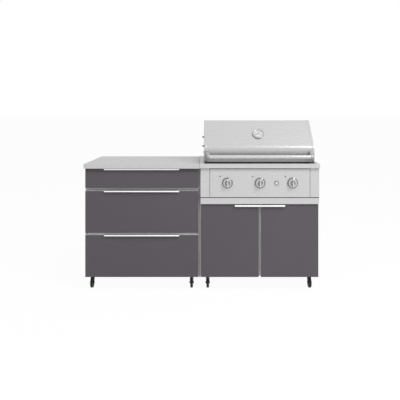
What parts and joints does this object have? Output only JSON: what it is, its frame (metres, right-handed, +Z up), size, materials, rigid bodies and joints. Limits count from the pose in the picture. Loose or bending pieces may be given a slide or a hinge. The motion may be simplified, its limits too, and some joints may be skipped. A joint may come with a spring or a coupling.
{
  "type": "modular outdoor kitchen",
  "caption": "Outdoor kitchen of a drawer cabinet and a built-in gas grill cabinet on casters, with sliding drawers, swinging doors, a lifting hood and turning knobs.",
  "frame": {"origin": "on the floor under the middle of the whole outline, both cabinets together", "axes": "+X to the right along both cabinets, -Y towards the person at the fronts, +Z up"},
  "size_m": [1.651, 0.637, 1.193],
  "materials": {
    "front_paint": "satin slate-grey powder coat",
    "stainless": "brushed stainless steel",
    "carcass_metal": "satin silver sheet",
    "pull_metal": "bright satin aluminium",
    "runner_steel": "zinc-plated steel",
    "caster_metal": "black coated steel",
    "caster_rubber": "black rubber",
    "grate_iron": "seasoned cast iron",
    "burner_steel": "heat-dulled stainless steel",
    "stud_metal": "dark oxide",
    "needle_paint": "red paint"
  },
  "bodies": {
    "kitchen": {"drawer_cabinet_sides": "carcass_metal", "drawer_cabinet_back": "carcass_metal", "drawer_cabinet_base": "carcass_metal", "drawer_cabinet_rails": "carcass_metal", "drawer_countertop": "stainless", "runner_outer_members": "runner_steel", "grill_cabinet_sides": "carcass_metal", "grill_cabinet_back": "carcass_metal", "grill_cabinet_base": "carcass_metal", "grill_face_frame": "stainless", "door_hinge_arms": "runner_steel", "grill_firebox": "stainless", "grill_top_trim": "stainless", "control_panel": "stainless", "knob_bezels": "stainless", "cooking_grates": "grate_iron", "burners_and_manifold": "burner_steel", "flame_tamers": "burner_steel", "caster_plates": "caster_metal"},
    "drawer_top": {"drawer_front_top": "front_paint", "drawer_box_top": "carcass_metal", "drawer_pull_top": "pull_metal"},
    "runner_top": {"runner_middle_top": "runner_steel"},
    "drawer_middle": {"drawer_front_middle": "front_paint", "drawer_box_middle": "carcass_metal", "drawer_pull_middle": "pull_metal"},
    "runner_middle": {"runner_middle_middle": "runner_steel"},
    "drawer_bottom": {"drawer_front_bottom": "front_paint", "drawer_box_bottom": "carcass_metal", "drawer_pull_bottom": "pull_metal"},
    "runner_bottom": {"runner_middle_bottom": "runner_steel"},
    "door_left": {"door_left": "front_paint", "door_pull_left": "pull_metal"},
    "door_right": {"door_right": "front_paint", "door_pull_right": "pull_metal"},
    "hood": {"hood_shell": "stainless", "hood_handle": "stainless", "hood_side_studs": "stud_metal", "hood_thermometer": "stainless"},
    "knob_left": {"knob_left": "stainless"},
    "knob_centre": {"knob_centre": "stainless"},
    "knob_right": {"knob_right": "stainless"},
    "ignition_button": {"ignition_button": "stainless"},
    "thermometer_needle": {"thermometer_needle": "needle_paint"},
    "caster_drawer_front_left": {"caster_fork_drawer_front_left": "caster_metal"},
    "wheel_drawer_front_left": {"caster_wheel_drawer_front_left": "caster_rubber"},
    "caster_drawer_front_right": {"caster_fork_drawer_front_right": "caster_metal"},
    "wheel_drawer_front_right": {"caster_wheel_drawer_front_right": "caster_rubber"},
    "caster_grill_front_left": {"caster_fork_grill_front_left": "caster_metal"},
    "wheel_grill_front_left": {"caster_wheel_grill_front_left": "caster_rubber"},
    "caster_grill_front_right": {"caster_fork_grill_front_right": "caster_metal"},
    "wheel_grill_front_right": {"caster_wheel_grill_front_right": "caster_rubber"},
    "caster_drawer_rear_left": {"caster_fork_drawer_rear_left": "caster_metal"},
    "wheel_drawer_rear_left": {"caster_wheel_drawer_rear_left": "caster_rubber"},
    "caster_drawer_rear_right": {"caster_fork_drawer_rear_right": "caster_metal"},
    "wheel_drawer_rear_right": {"caster_wheel_drawer_rear_right": "caster_rubber"},
    "caster_grill_rear_left": {"caster_fork_grill_rear_left": "caster_metal"},
    "wheel_grill_rear_left": {"caster_wheel_grill_rear_left": "caster_rubber"},
    "caster_grill_rear_right": {"caster_fork_grill_rear_right": "caster_metal"},
    "wheel_grill_rear_right": {"caster_wheel_grill_rear_right": "caster_rubber"}
  },
  "joints": [
    {"name": "drawer_top_slide", "type": "slide", "parent": "kitchen", "child": "drawer_top", "axis": [0, -1, 0], "range_m": [0, 0.42]},
    {"name": "drawer_middle_slide", "type": "slide", "parent": "kitchen", "child": "drawer_middle", "axis": [0, -1, 0], "range_m": [0, 0.42]},
    {"name": "drawer_bottom_slide", "type": "slide", "parent": "kitchen", "child": "drawer_bottom", "axis": [0, -1, 0], "range_m": [0, 0.42]},
    {"name": "door_left_swing", "type": "hinge", "parent": "kitchen", "child": "door_left", "pos_m": [0.003, -0.26225, 0.352], "axis": [0, 0, -1], "range_deg": [0, 90]},
    {"name": "door_right_swing", "type": "hinge", "parent": "kitchen", "child": "door_right", "pos_m": [0.81, -0.26225, 0.352], "axis": [0, 0, 1], "range_deg": [0, 90]},
    {"name": "hood_lift", "type": "hinge", "parent": "kitchen", "child": "hood", "pos_m": [0.4065, 0.22575, 0.935], "axis": [-1, 0, 0], "range_deg": [0, 90]},
    {"name": "knob_left_turn", "type": "hinge", "parent": "kitchen", "child": "knob_left", "pos_m": [0.1785, -0.28225, 0.7585], "axis": [0, -1, 0], "range_deg": [0, 180]},
    {"name": "knob_centre_turn", "type": "hinge", "parent": "kitchen", "child": "knob_centre", "pos_m": [0.4065, -0.28225, 0.7585], "axis": [0, -1, 0], "range_deg": [0, 180]},
    {"name": "knob_right_turn", "type": "hinge", "parent": "kitchen", "child": "knob_right", "pos_m": [0.6345, -0.28225, 0.7585], "axis": [0, -1, 0], "range_deg": [0, 180]},
    {"name": "ignition_press", "type": "slide", "parent": "kitchen", "child": "ignition_button", "axis": [0, 1, 0], "range_m": [0, 0.003], "stiffness_N_per_m": 300},
    {"name": "thermometer_turn", "type": "hinge", "parent": "hood", "child": "thermometer_needle", "pos_m": [0.4065, -0.17661, 1.09452], "axis": [0, 0.7481, -0.6636], "range_deg": [0, 220]},
    {"name": "runner_top_slide", "type": "slide", "parent": "kitchen", "child": "runner_top", "axis": [0, -1, 0], "range_m": [0, 0.21]},
    {"name": "runner_middle_slide", "type": "slide", "parent": "kitchen", "child": "runner_middle", "axis": [0, -1, 0], "range_m": [0, 0.21]},
    {"name": "runner_bottom_slide", "type": "slide", "parent": "kitchen", "child": "runner_bottom", "axis": [0, -1, 0], "range_m": [0, 0.21]},
    {"name": "swivel_drawer_front_left", "type": "hinge", "parent": "kitchen", "child": "caster_drawer_front_left", "pos_m": [-0.7835, -0.18825, 0.095], "axis": [0, 0, 1], "continuous": true},
    {"name": "roll_drawer_front_left", "type": "hinge", "parent": "caster_drawer_front_left", "child": "wheel_drawer_front_left", "pos_m": [-0.7835, -0.20425, 0.037], "axis": [1, 0, 0], "continuous": true},
    {"name": "swivel_drawer_front_right", "type": "hinge", "parent": "kitchen", "child": "caster_drawer_front_right", "pos_m": [-0.0725, -0.18825, 0.095], "axis": [0, 0, 1], "continuous": true},
    {"name": "roll_drawer_front_right", "type": "hinge", "parent": "caster_drawer_front_right", "child": "wheel_drawer_front_right", "pos_m": [-0.0725, -0.20425, 0.037], "axis": [1, 0, 0], "continuous": true},
    {"name": "swivel_grill_front_left", "type": "hinge", "parent": "kitchen", "child": "caster_grill_front_left", "pos_m": [0.0425, -0.18825, 0.095], "axis": [0, 0, 1], "continuous": true},
    {"name": "roll_grill_front_left", "type": "hinge", "parent": "caster_grill_front_left", "child": "wheel_grill_front_left", "pos_m": [0.0425, -0.20425, 0.037], "axis": [1, 0, 0], "continuous": true},
    {"name": "swivel_grill_front_right", "type": "hinge", "parent": "kitchen", "child": "caster_grill_front_right", "pos_m": [0.7705, -0.18825, 0.095], "axis": [0, 0, 1], "continuous": true},
    {"name": "roll_grill_front_right", "type": "hinge", "parent": "caster_grill_front_right", "child": "wheel_grill_front_right", "pos_m": [0.7705, -0.20425, 0.037], "axis": [1, 0, 0], "continuous": true},
    {"name": "swivel_drawer_rear_left", "type": "hinge", "parent": "kitchen", "child": "caster_drawer_rear_left", "pos_m": [-0.7835, 0.24775, 0.095], "axis": [0, 0, 1], "continuous": true},
    {"name": "roll_drawer_rear_left", "type": "hinge", "parent": "caster_drawer_rear_left", "child": "wheel_drawer_rear_left", "pos_m": [-0.7835, 0.23175, 0.037], "axis": [1, 0, 0], "continuous": true},
    {"name": "swivel_drawer_rear_right", "type": "hinge", "parent": "kitchen", "child": "caster_drawer_rear_right", "pos_m": [-0.0725, 0.24775, 0.095], "axis": [0, 0, 1], "continuous": true},
    {"name": "roll_drawer_rear_right", "type": "hinge", "parent": "caster_drawer_rear_right", "child": "wheel_drawer_rear_right", "pos_m": [-0.0725, 0.23175, 0.037], "axis": [1, 0, 0], "continuous": true},
    {"name": "swivel_grill_rear_left", "type": "hinge", "parent": "kitchen", "child": "caster_grill_rear_left", "pos_m": [0.0425, 0.24775, 0.095], "axis": [0, 0, 1], "continuous": true},
    {"name": "roll_grill_rear_left", "type": "hinge", "parent": "caster_grill_rear_left", "child": "wheel_grill_rear_left", "pos_m": [0.0425, 0.23175, 0.037], "axis": [1, 0, 0], "continuous": true},
    {"name": "swivel_grill_rear_right", "type": "hinge", "parent": "kitchen", "child": "caster_grill_rear_right", "pos_m": [0.7705, 0.24775, 0.095], "axis": [0, 0, 1], "continuous": true},
    {"name": "roll_grill_rear_right", "type": "hinge", "parent": "caster_grill_rear_right", "child": "wheel_grill_rear_right", "pos_m": [0.7705, 0.23175, 0.037], "axis": [1, 0, 0], "continuous": true}
  ],
  "couplings": [
    {"joint": "runner_top_slide", "follows": "drawer_top_slide", "ratio": 0.5},
    {"joint": "runner_middle_slide", "follows": "drawer_middle_slide", "ratio": 0.5},
    {"joint": "runner_bottom_slide", "follows": "drawer_bottom_slide", "ratio": 0.5}
  ]
}
